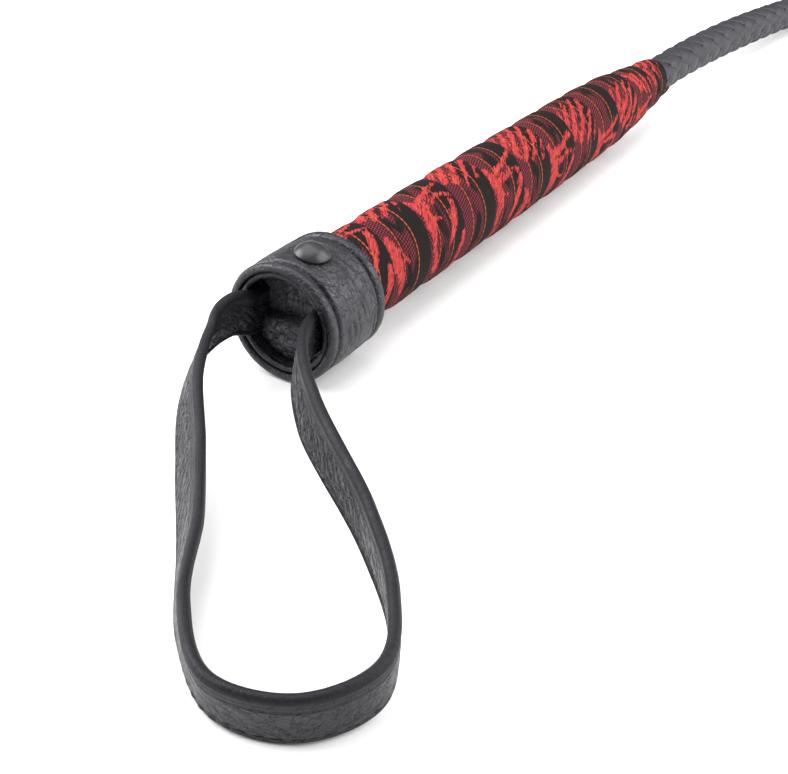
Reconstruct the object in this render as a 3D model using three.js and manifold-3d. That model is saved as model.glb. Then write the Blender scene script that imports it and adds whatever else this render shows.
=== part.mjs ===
// A riding crop lying on a flat surface: a leather cuff with a wrist loop at the butt, a grip
// wound with ribbon, a springy shaft with a plaited cover, and a folded leather keeper.
// Millimetres, +Z up. Stations run along the crop from the cuff's mouth, towards +X.
import * as THREE from "three";
import { mergeVertices } from "three/addons/utils/BufferGeometryUtils.js";
import Module from "manifold-3d";

const wasm = await Module();
wasm.setup();

// Driving dimensions
const GAP = 0.3; // clearance between pieces that touch
const CUFF_LENGTH = 24;
const CUFF_RADIUS = 16;
const CUFF_WALL = 2.1;
const RIM_ROLL = 1.3; // radius of the rolled edges of the cuff
const CREASE_DEPTH = 0.5;
const TURNED_SIDES = 48;
const INNER_SIDES = 24;
const LINING_WALL = 1.2;
const LINING_START = 1.4;
const LINING_END = 18.4;
const CORE_START = 8; // butt end of the wooden grip form
const CORE_END = 225;
const RIBBON_START = 18.9; // the ribbon is tucked under the cuff
const RIBBON_END = 245;
const RIBBON_THICKNESS = 0.8;
const PADDING_THICKNESS = 1.0;
const BINDING_END = 234;
const ROD_START = 40;
const ROD_RADIUS = 3;
const ROD_TIP_RADIUS = 2;
const FLEX_STATION = 300; // where the shaft's bending is gathered into one hinge
const SHAFT_END = 625;
const GRIP_FALL = 0.009; // how far the grip's axis falls beyond the cuff, per millimetre
const SHAFT_CURVE_START = 250;
const SHAFT_SINK = 260; // length over which the shaft comes down to the ground
const SHAFT_CURVE_RADIUS = 1000;
const SHAFT_SIDES = 16;
const STRAP_WIDTH = 12;
const STRAP_THICKNESS = 2.2;
const STRAP_INSET = 8.3; // from the crop's axis to the inner face of a strap end
const RIVET_STATION = 10.5;
const RIVET_LEAN = THREE.MathUtils.degToRad(11);
const RIVET_SHANK_RADIUS = 1.2;
const CAP_RADIUS = 4.5;
const CAP_HEIGHT = 2.4;
const TACK_STATIONS = [11, 15.5];
const TACK_SHANK_RADIUS = 0.6;
const NECK_START = 597;
const NECK_END = 627.3;
const WHIPPING_START = 601;
const WHIPPING_END = 617;
const KEEPER_HINGE = 628;
const TONGUE_START = 2; // from the keeper's hinge
const TONGUE_LENGTH = 65;
const TONGUE_WIDTH = 24;
const TONGUE_NECK_WIDTH = 11;
const LEAF_THICKNESS = 1.3;
const LEAF_SLIT = 0.5;
const TONGUE_DROOP = THREE.MathUtils.degToRad(3.2);

// The cuff's lowest facet lies on the ground, so the axis is its apothem above it.
const AXIS_HEIGHT = CUFF_RADIUS * Math.cos(Math.PI / TURNED_SIDES);
const LINING_RADIUS = CUFF_RADIUS - CUFF_WALL - GAP;
const MOUTH_RADIUS = LINING_RADIUS - LINING_WALL;
const BUTT_RADIUS = MOUTH_RADIUS - GAP;

// Outer radius of the wound grip at stations along it
const GRIP_OUTLINE = [
  [RIBBON_START, 12.4],
  [45, 12.7],
  [75, 12.8],
  [110, 12.8],
  [150, 12.5],
  [175, 12.2],
  [190, 11.9],
  [200, 11.5],
  [210, 10.6],
  [220, 9.6],
  [230, 8.8],
  [240, 7.8],
  [RIBBON_END, 7.4],
];

// The wrist strap's centreline as it lies, from its left end round to its right end: x, y, height,
// and how far its upper edge leans outwards, in degrees.
const STRAP_ROUTE = [
  [6.6, 9.4, 16, 0],
  [3.4, 9.35, 16.05, -1],
  [0, 9.4, 16.8, -5],
  [-5, 10.8, 18.3, 9],
  [-12.75, 11.5, 15.5, -25],
  [-29.7, 3.4, 13.1, -26],
  [-48.5, -11.6, 9.3, -32],
  [-67.6, -27.1, 7.2, -25],
  [-87.6, -42, 6.5, -6],
  [-99, -58.2, 6.1, 8],
  [-95, -74, 6.2, 6],
  [-81.7, -81.2, 6.7, 5],
  [-67.1, -74.6, 8.2, 0],
  [-50.5, -58, 11, 8],
  [-29.5, -29.8, 15.6, 18],
  [-12, -14.6, 16.9, 10],
  [0, -9.7, 16.2, 2],
  [6.6, -9.4, 16, 0],
];
const LEG_START = 28; // along the strap from where it leaves the grip form
const LEG_END = 38;
const TWIST_END = 62;

const COLOURS = {
  leather: [0x2b2b2e, 0.6, 0],
  lining: [0x222225, 0.7, 0],
  ribbon: [0x9c2a28, 0.75, 0],
  wood: [0xb58a5a, 0.8, 0],
  padding: [0x4a4a48, 0.95, 0],
  thread: [0x1c1c1e, 0.9, 0],
  rod: [0xd8d4c4, 0.5, 0],
  gunmetal: [0x3a3c40, 0.35, 0.8],
  steel: [0x9a9a9e, 0.4, 1],
};

const crop = new THREE.Group();
const body = new THREE.Group(); // stations start at the cuff's mouth, the frame at the cuff's middle
body.position.x = -CUFF_LENGTH / 2;
crop.add(body);

// Adds a named piece in one of the colours above.
function addPiece(name, geometry, colour, parent = body) {
  const [color, roughness, metalness] = COLOURS[colour];
  const mesh = new THREE.Mesh(geometry, new THREE.MeshStandardMaterial({ color, roughness, metalness }));
  mesh.name = name;
  parent.add(mesh);
  return mesh;
}

// A closed solid as a manifold, ready for cutting.
function toManifold(geometry) {
  const bare = geometry.index ? geometry.toNonIndexed() : geometry.clone();
  bare.deleteAttribute("normal");
  bare.deleteAttribute("uv");
  const merged = mergeVertices(bare, 1e-4);
  const vertProperties = new Float32Array(merged.attributes.position.array);
  const triVerts = new Uint32Array(merged.index.array);
  return new wasm.Manifold(new wasm.Mesh({ numProp: 3, vertProperties, triVerts }));
}

function toGeometry(manifold) {
  const cut = manifold.getMesh();
  const geometry = new THREE.BufferGeometry();
  geometry.setAttribute("position", new THREE.BufferAttribute(cut.vertProperties, 3));
  geometry.setIndex(new THREE.BufferAttribute(cut.triVerts, 1));
  return geometry;
}

function cutAway(geometry, cutters) {
  let solid = toManifold(geometry);
  for (const cutter of cutters) solid = solid.subtract(toManifold(cutter));
  return toGeometry(solid);
}

// Height of the crop's axis at a station: level in the cuff, then falling gently.
function axisHeight(station) {
  return AXIS_HEIGHT - GRIP_FALL * Math.max(station - CUFF_LENGTH, 0);
}

// A profile of [station, radius] pairs turned about the crop's axis, with a facet underneath.
function turned(profile, sides = TURNED_SIDES) {
  const points = profile.map(([station, radius]) => new THREE.Vector2(radius, station));
  const geometry = new THREE.LatheGeometry(points, sides, Math.PI / sides);
  geometry.rotateZ(-Math.PI / 2);
  const place = geometry.attributes.position;
  for (let i = 0; i < place.count; i += 1) place.setZ(i, place.getZ(i) + axisHeight(place.getX(i)));
  return geometry;
}

// A sleeve between two outlines of [station, radius] pairs.
function sleeve(outer, inner, sides = TURNED_SIDES) {
  return turned([...inner].reverse().concat(outer, [inner[inner.length - 1]]), sides);
}

// The grip's outer radius at a station, straight between the outline's points.
function gripRadius(station) {
  const next = GRIP_OUTLINE.findIndex(([x]) => x >= station);
  if (next <= 0) return GRIP_OUTLINE[0][1];
  const [x0, r0] = GRIP_OUTLINE[next - 1];
  const [x1, r1] = GRIP_OUTLINE[next];
  return r0 + ((r1 - r0) * (station - x0)) / (x1 - x0);
}

// The grip's outline set in by a depth, between two stations.
function gripLayer(depth, start, end) {
  const inside = GRIP_OUTLINE.filter(([x]) => x > start && x < end).map(([x]) => x);
  return [start, ...inside, end].map((x) => [x, gripRadius(x) - depth]);
}

// A cylinder along +Y or, turned, along the rivet's axis.
function pin(radius, length, sides) {
  return new THREE.CylinderGeometry(radius, radius, length, sides);
}

// A solid through rings with equal numbers of corners, clockwise seen along the way they follow,
// with flat ends, or closed into a hoop.
function loft(rings, hoop = false) {
  const corners = rings[0].length;
  const positions = rings.flat().flatMap((p) => [p.x, p.y, p.z]);
  const index = [];
  const spans = hoop ? rings.length : rings.length - 1;
  for (let i = 0; i < spans; i += 1) {
    const here = i * corners;
    const there = ((i + 1) % rings.length) * corners;
    for (let j = 0; j < corners; j += 1) {
      const next = (j + 1) % corners;
      index.push(here + j, there + next, there + j, here + j, here + next, there + next);
    }
  }
  if (!hoop) {
    const last = (rings.length - 1) * corners;
    for (let j = 1; j < corners - 1; j += 1) {
      index.push(0, j + 1, j, last, last + j, last + j + 1);
    }
  }
  const geometry = new THREE.BufferGeometry();
  geometry.setAttribute("position", new THREE.Float32BufferAttribute(positions, 3));
  geometry.setIndex(index);
  return geometry;
}

const smoothRise = (share) => THREE.MathUtils.smoothstep(share, 0, 1);

// Centre of the shaft at a station: straight in the grip, then curving to the right and sinking
// to the ground, and rising a little again where the keeper's binding lifts it.
function shaftCentre(station) {
  const past = Math.max(station - SHAFT_CURVE_START, 0);
  const restHeight = 5.45;
  const height = THREE.MathUtils.lerp(axisHeight(station), restHeight, smoothRise(past / SHAFT_SINK));
  const lift = smoothRise((station - 520) / 80) * 1.2;
  return new THREE.Vector3(station, -(past ** 2) / (2 * SHAFT_CURVE_RADIUS), height + lift);
}

function shaftHeading(station) {
  return shaftCentre(station + 0.5).sub(shaftCentre(station - 0.5)).normalize();
}

// Radius of the plaited cover: it swells just past the grip, then tapers to the tip.
function plaitRadius(station) {
  const swell = 0.3 * smoothRise((station - SHAFT_CURVE_START) / 80);
  const taper = 2.2 * Math.max((station - 340) / (SHAFT_END - 340), 0) ** 1.2;
  return 6.2 + swell - taper;
}

function rodRadius(station) {
  const share = Math.max(station - FLEX_STATION, 0) / (SHAFT_END - FLEX_STATION);
  return ROD_RADIUS + (ROD_TIP_RADIUS - ROD_RADIUS) * share;
}

// A ring of points round the shaft's centreline, seen square to it.
function shaftRing(station, radius) {
  const heading = shaftHeading(station);
  const side = heading.clone().cross(new THREE.Vector3(0, 0, 1)).normalize();
  const up = side.clone().cross(heading);
  const ring = [];
  for (let j = 0; j < SHAFT_SIDES; j += 1) {
    const angle = (2 * Math.PI * (j + 0.5)) / SHAFT_SIDES;
    const point = shaftCentre(station);
    point.addScaledVector(side, radius * Math.sin(angle)).addScaledVector(up, radius * Math.cos(angle));
    ring.push(point);
  }
  return ring;
}

function stationsBetween(start, end, spacing) {
  const count = Math.max(Math.ceil((end - start) / spacing), 1);
  return Array.from({ length: count + 1 }, (_, i) => start + ((end - start) * i) / count);
}

function shaftSolid(stations, radius) {
  return loft(stations.map((x) => shaftRing(x, radius(x))));
}

// A sleeve round the shaft's centreline, open right through.
function shaftSleeve(stations, outer, inner) {
  const outside = stations.map((x) => shaftRing(x, outer(x)));
  const inside = stations.map((x) => shaftRing(x, inner(x))).reverse();
  return loft([...outside, ...inside], true);
}

// ---- Cuff, butt and rivet

// The band bulges to its full radius between two creases and ends in a rolled rim each way.
function cuffOutline() {
  const outline = [];
  const rimCentre = CUFF_RADIUS - RIM_ROLL;
  for (let i = 0; i <= 4; i += 1) {
    const angle = Math.PI - (Math.PI / 2) * (i / 4);
    outline.push([RIM_ROLL + RIM_ROLL * Math.cos(angle), rimCentre + RIM_ROLL * Math.sin(angle)]);
  }
  const creaseStation = 3.4;
  outline.push([creaseStation, CUFF_RADIUS - CREASE_DEPTH], [creaseStation + 1.4, CUFF_RADIUS]);
  const mirrored = outline.map(([x, r]) => [CUFF_LENGTH - x, r]).reverse();
  return [...outline, ...mirrored];
}

function rivetHole(radius) {
  const hole = pin(radius, 2 * CUFF_RADIUS, 16);
  hole.translate(0, CUFF_RADIUS, 0);
  hole.rotateX(Math.PI / 2 + RIVET_LEAN);
  return hole.translate(RIVET_STATION, 0, AXIS_HEIGHT);
}

function makeCuff() {
  const bore = CUFF_RADIUS - CUFF_WALL;
  const band = sleeve(cuffOutline(), [[0.9, bore], [CUFF_LENGTH - 0.9, bore]]);
  const hole = rivetHole(RIVET_SHANK_RADIUS + GAP);
  addPiece("cuff_band", cutAway(band, [hole]), "leather");
  const rim = [
    [LINING_START, LINING_RADIUS - 0.5],
    [LINING_START + 0.5, LINING_RADIUS],
  ];
  const lining = sleeve([...rim, [LINING_END, LINING_RADIUS]], [
    [LINING_START, MOUTH_RADIUS + 0.3],
    [LINING_START + 0.4, MOUTH_RADIUS],
    [LINING_END, MOUTH_RADIUS],
  ]);
  addPiece("cuff_lining", cutAway(lining, [hole]), "lining");
}

function makeRivet() {
  const rivet = new THREE.Group();
  rivet.position.set(RIVET_STATION, 0, AXIS_HEIGHT);
  rivet.rotation.x = Math.PI / 2 + RIVET_LEAN;
  body.add(rivet);
  const base = CUFF_RADIUS + 0.2;
  const dome = [new THREE.Vector2(0, base), new THREE.Vector2(CAP_RADIUS - 0.3, base)];
  for (let i = 0; i <= 8; i += 1) {
    const angle = (Math.PI / 2) * (i / 8);
    const height = base + 0.4 + (CAP_HEIGHT - 0.4) * Math.sin(angle);
    dome.push(new THREE.Vector2(i === 8 ? 0 : CAP_RADIUS * Math.cos(angle), height));
  }
  addPiece("rivet_cap", new THREE.LatheGeometry(dome, 32), "gunmetal", rivet);
  const shankTop = base - GAP;
  const shankEnd = 5;
  const shank = pin(RIVET_SHANK_RADIUS, shankTop - shankEnd, 16);
  shank.translate(0, (shankTop + shankEnd) / 2, 0);
  addPiece("rivet_shank", shank, "gunmetal", rivet);
}

// A box that leaves only what lies between the two strap flats, over a range of stations.
function betweenFlats(start, end, halfWidth) {
  const box = new THREE.BoxGeometry(end - start, 2 * halfWidth, 4 * CUFF_RADIUS);
  return box.translate((start + end) / 2, 0, AXIS_HEIGHT);
}

function makeButtCover() {
  const start = CORE_START - GAP - 1.6;
  const dome = [
    [start - 0.9, 0],
    [start - 0.7, 5],
    [start, 9],
    [start + 0.8, BUTT_RADIUS - 0.2],
    [CORE_START - GAP, BUTT_RADIUS - 0.2],
    [CORE_START - GAP, 0],
  ];
  const pad = toManifold(turned(dome));
  const flats = toManifold(betweenFlats(start - 2, CORE_START, STRAP_INSET - GAP));
  addPiece("butt_cover", toGeometry(pad.intersect(flats)), "leather");
}

// ---- Grip

function makeHandleCore() {
  const layer = RIBBON_THICKNESS + PADDING_THICKNESS + 2 * GAP;
  const shoulder = RIBBON_START - GAP;
  const outline = [
    [CORE_START, 0],
    [CORE_START, BUTT_RADIUS],
    [shoulder, BUTT_RADIUS],
    ...gripLayer(layer, shoulder, CORE_END),
    [CORE_END, ROD_RADIUS + GAP],
    [ROD_START - GAP, ROD_RADIUS + GAP],
    [ROD_START - GAP, 0],
  ];
  const flatEnd = shoulder;
  const blocks = [1, -1].map((side) => {
    const block = new THREE.BoxGeometry(flatEnd - CORE_START + 2, 10, 4 * CUFF_RADIUS);
    return block.translate((flatEnd + CORE_START) / 2 - 1, side * (STRAP_INSET - GAP + 5), AXIS_HEIGHT);
  });
  const holes = TACK_STATIONS.map((x) => {
    const through = pin(TACK_SHANK_RADIUS + GAP, 4 * CUFF_RADIUS, 8);
    return through.translate(x, 0, AXIS_HEIGHT);
  });
  const core = cutAway(turned(outline, INNER_SIDES), [...blocks, ...holes, rivetHole(RIVET_SHANK_RADIUS + GAP)]);
  addPiece("handle_core", core, "wood");
}

function makeGrip() {
  const ribbonInner = gripLayer(RIBBON_THICKNESS, RIBBON_START, RIBBON_END - 1);
  ribbonInner[ribbonInner.length - 1][0] = RIBBON_END;
  addPiece("ribbon_wrap", sleeve(GRIP_OUTLINE, ribbonInner), "ribbon");
  const outerDepth = RIBBON_THICKNESS + GAP;
  const innerDepth = outerDepth + PADDING_THICKNESS;
  const padding = sleeve(
    gripLayer(outerDepth, RIBBON_START, CORE_END),
    gripLayer(innerDepth, RIBBON_START, CORE_END),
    INNER_SIDES,
  );
  addPiece("grip_padding", padding, "padding");
  const bindingStart = CORE_END + GAP;
  const bore = plaitRadius(SHAFT_CURVE_START) + GAP;
  const boreOutline = [[bindingStart, bore], [BINDING_END, bore]];
  const binding = sleeve(gripLayer(outerDepth, bindingStart, BINDING_END), boreOutline, INNER_SIDES);
  addPiece("taper_binding", binding, "thread");
}

// ---- Wrist strap

const strapCurve = new THREE.CatmullRomCurve3(
  STRAP_ROUTE.map(([x, y, z]) => new THREE.Vector3(x, y, z)),
  false,
  "centripetal",
);
const strapLean = new THREE.SplineCurve(STRAP_ROUTE.map(([, , , lean], i) => new THREE.Vector2(i, lean)));
const strapLength = strapCurve.getLength();

// The strap's four corners at a distance along it.
function strapRing(distance) {
  const along = distance / strapLength;
  const centre = strapCurve.getPointAt(along);
  const heading = strapCurve.getTangentAt(along);
  const lean = THREE.MathUtils.degToRad(strapLean.getPoint(strapCurve.getUtoTmapping(along)).y);
  const upright = new THREE.Vector3(0, 0, 1).addScaledVector(heading, -heading.z).normalize();
  const outward = heading.clone().cross(upright);
  const across = upright.clone().multiplyScalar(Math.cos(lean)).addScaledVector(outward, Math.sin(lean));
  const through = outward.multiplyScalar(Math.cos(lean)).addScaledVector(upright, -Math.sin(lean));
  const corners = [[1, 1], [-1, 1], [-1, -1], [1, -1]];
  return corners.map(([a, t]) =>
    centre
      .clone()
      .addScaledVector(across, (a * STRAP_WIDTH) / 2)
      .addScaledVector(through, (t * STRAP_THICKNESS) / 2),
  );
}

function strapStretch(start, end) {
  return loft(stationsBetween(start, end, 5).map(strapRing));
}

function makeStrapTail(name, side) {
  const start = 6.9;
  const tail = new THREE.BoxGeometry(LINING_END - start, STRAP_THICKNESS, STRAP_WIDTH);
  tail.translate((start + LINING_END) / 2, side * (STRAP_INSET + STRAP_THICKNESS / 2), AXIS_HEIGHT);
  const holes = TACK_STATIONS.map((x) => {
    const hole = pin(TACK_SHANK_RADIUS + GAP, 6, 8);
    return hole.translate(x, side * (STRAP_INSET + 1), AXIS_HEIGHT);
  });
  addPiece(name, cutAway(tail, holes), "leather");
}

// A tack along +Y or -Y: a thin round head on the strap and a pointed shank in the grip form.
function makeTack(name, station, side) {
  const under = STRAP_INSET + STRAP_THICKNESS + GAP;
  const shankEnd = 4.5;
  const profile = [
    new THREE.Vector2(0, shankEnd),
    new THREE.Vector2(TACK_SHANK_RADIUS, shankEnd + 1.5),
    new THREE.Vector2(TACK_SHANK_RADIUS, under),
    new THREE.Vector2(2, under),
    new THREE.Vector2(1.6, under + 0.7),
    new THREE.Vector2(0, under + 0.8),
  ];
  const tack = addPiece(name, new THREE.LatheGeometry(profile, 12), "steel");
  tack.position.set(station, 0, AXIS_HEIGHT);
  tack.rotation.x = side > 0 ? 0 : Math.PI;
}

function makeStrap() {
  for (const [label, side] of [["left", 1], ["right", -1]]) {
    makeStrapTail(`strap_tail_${label}`, side);
    TACK_STATIONS.forEach((x, i) => makeTack(`strap_tack_${label}_${"ab"[i]}`, x, side));
    const stretches = { bend: [0, LEG_START], leg: [LEG_START, LEG_END], twist: [LEG_END, TWIST_END] };
    for (const [kind, [from, to]] of Object.entries(stretches)) {
      const ends = side > 0 ? [from + GAP, to] : [strapLength - to, strapLength - from - GAP];
      addPiece(`strap_${kind}_${label}`, strapStretch(...ends), "leather");
    }
  }
  addPiece("strap_bight", strapStretch(TWIST_END + GAP, strapLength - TWIST_END - GAP), "leather");
}

// ---- Shaft and keeper

function makeShaft() {
  const boreRadius = (x) => rodRadius(x) + GAP;
  const ballRadius = plaitRadius(FLEX_STATION);
  const collarStart = CORE_END + 1;
  const collarEnd = FLEX_STATION - ballRadius - GAP;
  const collar = shaftSleeve(stationsBetween(collarStart, collarEnd, 12), plaitRadius, boreRadius);
  addPiece("plait_collar", collar, "leather");
  const tang = shaftSolid(stationsBetween(ROD_START, collarEnd, 20), rodRadius);
  addPiece("rod_tang", tang, "rod");

  // The moving part starts in a rounded end centred on the hinge, so it turns clear of the collar.
  const roundEnd = (x) => Math.sqrt(Math.max(ballRadius ** 2 - (FLEX_STATION - x) ** 2, 0));
  const radius = (x) => (x < FLEX_STATION ? roundEnd(x) : plaitRadius(x));
  const ballStart = FLEX_STATION - ballRadius * 0.82;
  const stations = [
    ...stationsBetween(ballStart, FLEX_STATION, 1.4),
    ...stationsBetween(FLEX_STATION, SHAFT_END, 16).slice(1),
  ];
  addPiece("shaft_plait", shaftSleeve(stations, radius, boreRadius), "leather");
  const rod = shaftSolid(stationsBetween(FLEX_STATION - 4, SHAFT_END - 3, 20), rodRadius);
  addPiece("shaft_rod", rod, "rod");
}

function makeKeeperNeck() {
  const fit = (depth) => (x) => plaitRadius(Math.min(x, SHAFT_END)) + depth;
  const neck = shaftSleeve(stationsBetween(NECK_START, NECK_END, 8), fit(1.1), fit(GAP));
  addPiece("keeper_neck", neck, "leather");
  const whipping = shaftSleeve(stationsBetween(WHIPPING_START, WHIPPING_END, 5), fit(2.1), fit(1.1 + GAP));
  addPiece("tip_whipping", whipping, "thread");
}

// The tongue is one strip folded back on itself: two leaves and the fold at the far end.
function makeKeeperTongue() {
  const half = LEAF_THICKNESS + LEAF_SLIT / 2;
  const end = TONGUE_START + TONGUE_LENGTH;
  const side = new THREE.Shape();
  side.moveTo(TONGUE_START, LEAF_SLIT / 2);
  side.lineTo(TONGUE_START, half);
  side.lineTo(end - half, half);
  side.absarc(end - half, 0, half, Math.PI / 2, -Math.PI / 2, true);
  side.lineTo(TONGUE_START, -half);
  side.lineTo(TONGUE_START, -LEAF_SLIT / 2);
  side.lineTo(end - half, -LEAF_SLIT / 2);
  side.absarc(end - half, 0, LEAF_SLIT / 2, -Math.PI / 2, Math.PI / 2, false);
  const strip = new THREE.ExtrudeGeometry(side, { depth: TONGUE_WIDTH + 2, bevelEnabled: false, curveSegments: 6 });
  strip.translate(0, 0, -TONGUE_WIDTH / 2 - 1);
  strip.rotateX(Math.PI / 2);

  const plan = new THREE.Shape();
  plan.moveTo(0, TONGUE_NECK_WIDTH / 2);
  plan.lineTo(TONGUE_START + 4, TONGUE_NECK_WIDTH / 2);
  plan.quadraticCurveTo(TONGUE_START + 12, TONGUE_WIDTH / 2, TONGUE_START + 22, TONGUE_WIDTH / 2);
  plan.lineTo(end + 1, TONGUE_WIDTH / 2);
  plan.lineTo(end + 1, -TONGUE_WIDTH / 2);
  plan.lineTo(TONGUE_START + 22, -TONGUE_WIDTH / 2);
  plan.quadraticCurveTo(TONGUE_START + 12, -TONGUE_WIDTH / 2, TONGUE_START + 4, -TONGUE_NECK_WIDTH / 2);
  plan.lineTo(0, -TONGUE_NECK_WIDTH / 2);
  const outline = new THREE.ExtrudeGeometry(plan, { depth: 4 * half, bevelEnabled: false, curveSegments: 6 });
  outline.translate(0, 0, -2 * half);

  const tongue = toGeometry(toManifold(strip).intersect(toManifold(outline)));
  const keeper = new THREE.Group();
  keeper.position.copy(shaftCentre(KEEPER_HINGE));
  const heading = shaftHeading(KEEPER_HINGE);
  keeper.rotation.set(0, TONGUE_DROOP, Math.atan2(heading.y, heading.x), "ZYX");
  body.add(keeper);
  addPiece("keeper_tongue", tongue, "leather", keeper);
}

makeCuff();
makeRivet();
makeButtCover();
makeHandleCore();
makeGrip();
makeStrap();
makeShaft();
makeKeeperNeck();
makeKeeperTongue();

export default crop;
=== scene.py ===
"""A riding crop lying on a pale floor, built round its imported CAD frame.

Lengths are millimetres, and a station is a distance along the crop from the cuff's mouth.
placed() turns station, side and height into the row frame, in metres.
"""
import math

import bmesh
import bpy
import numpy as np
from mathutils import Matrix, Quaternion, Vector, noise


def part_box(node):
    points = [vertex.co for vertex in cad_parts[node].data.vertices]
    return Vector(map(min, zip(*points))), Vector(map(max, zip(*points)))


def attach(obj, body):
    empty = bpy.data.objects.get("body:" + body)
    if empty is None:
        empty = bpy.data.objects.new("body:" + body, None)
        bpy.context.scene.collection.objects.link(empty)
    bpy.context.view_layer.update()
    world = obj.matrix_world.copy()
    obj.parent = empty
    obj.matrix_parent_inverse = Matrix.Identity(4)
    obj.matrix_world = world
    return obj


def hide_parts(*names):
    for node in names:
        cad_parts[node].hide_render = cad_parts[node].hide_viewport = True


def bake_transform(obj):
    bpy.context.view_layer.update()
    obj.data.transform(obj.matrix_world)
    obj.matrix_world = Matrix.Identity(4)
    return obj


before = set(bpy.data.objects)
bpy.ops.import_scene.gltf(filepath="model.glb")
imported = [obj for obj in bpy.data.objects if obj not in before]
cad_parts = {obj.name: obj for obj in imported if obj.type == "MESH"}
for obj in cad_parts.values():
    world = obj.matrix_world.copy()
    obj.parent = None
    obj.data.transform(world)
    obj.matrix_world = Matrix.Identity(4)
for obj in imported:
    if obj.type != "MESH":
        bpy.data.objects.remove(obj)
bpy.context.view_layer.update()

MM = 0.001
cuff_low, cuff_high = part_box("cuff_band")
MOUTH_X = cuff_low.x
AXIS_HEIGHT = (cuff_low.z + cuff_high.z) / 2 / MM
CUFF_LENGTH = (cuff_high.x - cuff_low.x) / MM
CUFF_RADIUS = 16.0
LINING_RADIUS = 13.6
BUTT_RADIUS = 12.2
RIVET_STATION = 10.5
RIVET_LEAN = math.radians(11)  # to the crop's right
STRAP_WIDTH = 12.0
RIBBON_END = 243.5
GRIP_FALL = 0.009  # slope of the grip's axis beyond the cuff
SHAFT_CURVE_START = 250.0
SHAFT_SINK = 260.0  # length over which it comes down to the floor
SHAFT_END = 625.0
KEEPER_HINGE = 628.0

# ---- Meshes


def placed(points):
    """Points as station, side and height, in the row frame in metres."""
    return np.asarray(points, float) * MM + (MOUTH_X, 0, 0)


def linked(name, data):
    obj = bpy.data.objects.new(name, data)
    bpy.context.scene.collection.objects.link(obj)
    return obj


def add_object(name, points, faces, material, uv=None):
    """A smooth-shaded mesh object. uv has a pair for each face corner."""
    mesh = bpy.data.meshes.new(name)
    mesh.from_pydata(placed(points).tolist(), [], faces)
    if uv is not None:
        mesh.uv_layers.new(name="UVMap").data.foreach_set("uv", np.asarray(uv, float).ravel())
    mesh.shade_smooth()
    mesh.materials.append(material)
    return linked(name, mesh)


def face_outwards(obj):
    shape = bmesh.new()
    shape.from_mesh(obj.data)
    bmesh.ops.recalc_face_normals(shape, faces=shape.faces)
    shape.to_mesh(obj.data)
    shape.free()


def lattice(rows, cols, hoop=False, first=0):
    """Faces through rings of points, and each corner's ring and place in it. A hoop joins its
    last ring to its first."""
    i, j = np.indices((rows if hoop else rows - 1, cols)).reshape(2, -1)
    corners = [(i, j), (i + 1, j), (i + 1, j + 1), (i, j + 1)]
    faces = np.stack([first + (a % rows) * cols + b % cols for a, b in corners], 1)
    cells = np.stack([np.stack([a, b], 1) for a, b in corners], 1).reshape(-1, 2)
    return faces.tolist(), cells


def grid_object(name, grid, material, u=None, v=None, hoop=False):
    """A mesh through rings of points, with flat ends unless it is a hoop. u and v are the UV
    values of the rings and round each, with one more where they join up."""
    rows, cols = grid.shape[:2]
    faces, cells = lattice(rows, cols, hoop)
    u = np.arange(rows + 1) if u is None else u
    v = np.arange(cols + 1) if v is None else v
    uv = np.stack([u[cells[:, 0]], v[cells[:, 1]]], 1)
    if not hoop:
        for row in (0, rows - 1):
            faces.append(list(range(row * cols, (row + 1) * cols)))
            uv = chain(uv, np.stack([np.full(cols, u[row]), v[:cols]], 1))
    obj = add_object(name, grid.reshape(-1, 3), faces, material, uv)
    face_outwards(obj)
    return obj


def set_attribute(obj, name, values):
    layer = obj.data.attributes.new(name, "FLOAT", "POINT")
    layer.data.foreach_set("value", np.asarray(values, np.float32).ravel())


def join(objects, name):
    """Makes one object of several."""
    whole = objects[0]
    for o in bpy.context.selected_objects:
        o.select_set(False)
    for o in objects:
        o.select_set(True)
    bpy.context.view_layer.objects.active = whole
    bpy.ops.object.join()
    whole.name = whole.data.name = name
    whole.select_set(False)
    return whole


# ---- Curves and noise


def chain(*parts):
    return np.concatenate(parts)


def stacked(*parts):
    return np.stack(parts, -1)


def smooth_rise(x):
    """From 0 to 1 as x goes from 0 to 1, level at both ends."""
    x = np.clip(x, 0, 1)
    return x * x * (3 - 2 * x)


def bump_at(x, centre, spread):
    return np.exp(-(((x - centre) / spread) ** 2))


def noise_places(points, size, seed):
    """Points in units of size, which may differ by axis, moved to another place for each seed."""
    return np.asarray(points, float) / np.asarray(size, float) + seed * np.array([7.1, 3.7, 5.3])


def cell_borders(places):
    """How far places are from the border of their cell, 0 on it."""
    nearest = (noise.voronoi(Vector(p))[0] for p in places.reshape(-1, 3))
    return np.array([d[1] - d[0] for d in nearest]).reshape(places.shape[:-1])


def lumps(points, size, seed):
    """Smooth noise from about -1 to 1, with lumps of that size."""
    places = noise_places(points, size, seed)
    values = [noise.noise(Vector(p)) for p in places.reshape(-1, 3)]
    return np.array(values).reshape(places.shape[:-1])


def pebbles(points, size, seed):
    """0 along the borders of cells of that size, rising to 1 inside them."""
    return np.clip(cell_borders(noise_places(points, size, seed)) * 2.2, 0, 1)


def creases(points, size, width, seed):
    """-1 in thin lines along the borders of cells of that size, and 0 inside them."""
    places = noise_places(points, size, seed)
    wander = 0.35 * np.stack([lumps(places, 0.8, k) for k in (1, 2, 3)], -1)
    return -np.exp(-((cell_borders(places + wander) / width) ** 2))


def running_sum(steps):
    return chain([0], np.cumsum(steps))


def distance_along(line):
    return running_sum(np.linalg.norm(np.diff(line, axis=0), axis=1))


def at_distance(distance, line):
    """Points at distances along a line of points."""
    run = distance_along(line)
    return stacked(*(np.interp(distance, run, values) for values in line.T))


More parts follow.
